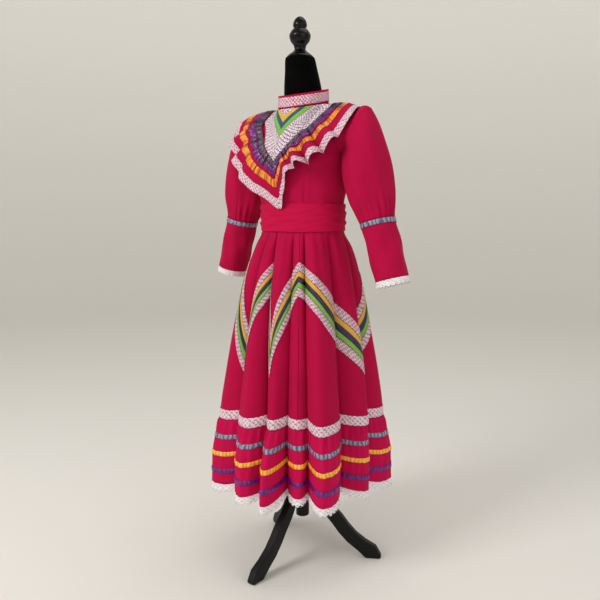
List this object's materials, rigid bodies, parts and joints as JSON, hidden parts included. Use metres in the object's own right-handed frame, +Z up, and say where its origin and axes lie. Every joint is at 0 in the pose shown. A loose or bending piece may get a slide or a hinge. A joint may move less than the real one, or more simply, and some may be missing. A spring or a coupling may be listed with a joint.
{
  "type": "jalisco dress on a dress form",
  "caption": "Magenta folk dress with ribboned bertha frill, gored skirt with a chevron band and gathered flounce, standing on a black three-legged dress form.",
  "frame": {"origin": "on the floor, on the axis of the stand's post, below the middle of the dress", "axes": "+Z up, the dress faces -Y, the wearer's left is +X"},
  "size_m": [0.7404, 0.5159, 1.675],
  "materials": {
    "magenta_cotton": "matte plain weave",
    "pink_lace": "matte lace",
    "white_lace": "matte lace",
    "yellow_ribbon": "satin",
    "orange_ribbon": "satin",
    "navy_ribbon": "satin",
    "green_ribbon": "satin",
    "blue_ribbon": "satin",
    "grey_ribbon": "satin",
    "purple_ribbon": "satin",
    "black_jersey": "matte knit cover",
    "black_wood": "gloss paint over turned and cut wood"
  },
  "bodies": {
    "root": {"skirt_gore_1": "magenta_cotton", "skirt_gore_2": "magenta_cotton", "skirt_gore_3": "magenta_cotton", "skirt_gore_4": "magenta_cotton", "skirt_gore_5": "magenta_cotton", "skirt_gore_6": "magenta_cotton", "hem_flounce": "magenta_cotton", "bodice_front": "magenta_cotton", "bodice_back_left": "magenta_cotton", "bodice_back_right": "magenta_cotton", "collar_band": "magenta_cotton", "bertha_frill": "magenta_cotton", "sleeve_puff_left": "magenta_cotton", "sleeve_puff_right": "magenta_cotton", "sleeve_lower_left": "magenta_cotton", "sleeve_lower_right": "magenta_cotton", "waist_sash": "magenta_cotton", "sash_knot": "magenta_cotton", "sash_loop_left": "magenta_cotton", "sash_loop_right": "magenta_cotton", "sash_tail_left": "magenta_cotton", "sash_tail_right": "magenta_cotton", "chevron_lace_upper": "pink_lace", "chevron_lace_lower": "pink_lace", "yoke_lace_centre_front": "pink_lace", "yoke_lace_centre_back": "pink_lace", "yoke_lace_wide_front": "pink_lace", "yoke_lace_wide_back": "pink_lace", "collar_lace": "pink_lace", "flounce_seam_lace": "white_lace", "hem_lace": "white_lace", "bertha_edge_lace": "white_lace", "cuff_lace_left": "white_lace", "cuff_lace_right": "white_lace", "chevron_ribbon_yellow": "yellow_ribbon", "flounce_ribbon_yellow": "yellow_ribbon", "yoke_ribbon_yellow_front": "yellow_ribbon", "yoke_ribbon_yellow_back": "yellow_ribbon", "bertha_ribbon_orange": "orange_ribbon", "chevron_ribbon_navy": "navy_ribbon", "chevron_ribbon_green": "green_ribbon", "yoke_ribbon_green_front": "green_ribbon", "yoke_ribbon_green_back": "green_ribbon", "yoke_ribbon_blue_front": "blue_ribbon", "yoke_ribbon_blue_back": "blue_ribbon", "flounce_ribbon_greyblue": "grey_ribbon", "bertha_ribbon_grey": "grey_ribbon", "sleeve_ribbon_left": "grey_ribbon", "sleeve_ribbon_right": "grey_ribbon", "flounce_ribbon_purple": "purple_ribbon", "bertha_ribbon_purple": "purple_ribbon", "form_torso": "black_jersey", "form_neck": "black_jersey", "neck_finial": "black_wood", "stand_post": "black_wood", "stand_leg_1": "black_wood", "stand_leg_2": "black_wood", "stand_leg_3": "black_wood"}
  },
  "joints": []
}
